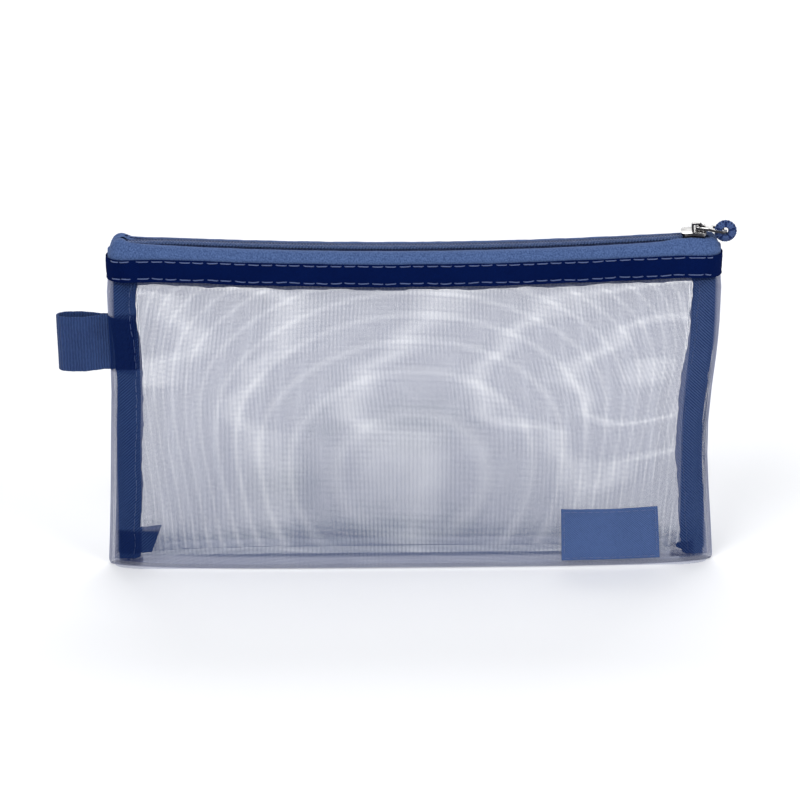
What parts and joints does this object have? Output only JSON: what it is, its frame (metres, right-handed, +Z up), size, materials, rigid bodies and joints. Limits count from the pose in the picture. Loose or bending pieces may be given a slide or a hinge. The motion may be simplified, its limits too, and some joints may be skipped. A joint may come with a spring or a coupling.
{
  "type": "mesh zipper pouch",
  "caption": "Flat mesh pouch with a zipper along the top, bound side seams, a webbing loop at the left and a plain patch.",
  "frame": {"origin": "middle of the flat base, where the pouch stands", "axes": "+X along the zipper towards its closed end, +Y from the front wall to the back wall, +Z up"},
  "size_m": [0.2569, 0.0205, 0.1385],
  "materials": {
    "mesh": "fine open mesh, semi-transparent, soft sheen",
    "tape": "woven zipper tape",
    "coil": "nylon coil, satin",
    "band": "dark navy woven band, two stitched rows",
    "facing": "navy woven facing",
    "binding": "twill binding tape",
    "webbing": "ribbed webbing",
    "label": "plain twill patch",
    "metal": "polished nickel plate",
    "cord": "braided cord"
  },
  "bodies": {
    "pouch": {"mesh_body": "mesh", "front_zipper_tape": "tape", "back_zipper_tape": "tape", "front_zipper_coil": "coil", "back_zipper_coil": "coil", "front_top_band": "band", "back_top_band": "band", "front_inner_facing": "facing", "back_inner_facing": "facing", "left_seam_binding": "binding", "right_seam_binding": "binding", "label_patch": "label", "webbing_tail": "webbing"},
    "slider": {"slider_body": "metal"},
    "tab": {"pull_tab": "metal"},
    "cord": {"cord_ring": "cord"},
    "loop": {"webbing_loop": "webbing"}
  },
  "joints": [
    {"name": "slider_travel", "type": "hinge", "parent": "pouch", "child": "slider", "pos_m": [0, 0, 1.69274], "axis": [0, 1, 0], "range_deg": [0, 7.65], "deforming": ["front_zipper_coil", "back_zipper_coil", "cord_ring"]},
    {"name": "tab_flip", "type": "hinge", "parent": "slider", "child": "tab", "pos_m": [0.10694, 0, 0.13587], "axis": [0, -1, 0], "range_deg": [0, 180]},
    {"name": "cord_turn", "type": "hinge", "parent": "tab", "child": "cord", "pos_m": [0.11782, 0, 0.13422], "axis": [0, 1, 0], "continuous": true},
    {"name": "loop_flex", "type": "hinge", "parent": "pouch", "child": "loop", "pos_m": [-0.1155, 0, 0.0915], "axis": [0, 0, 1], "range_deg": [-45, 45], "stiffness_Nm_per_rad": 0.002}
  ]
}
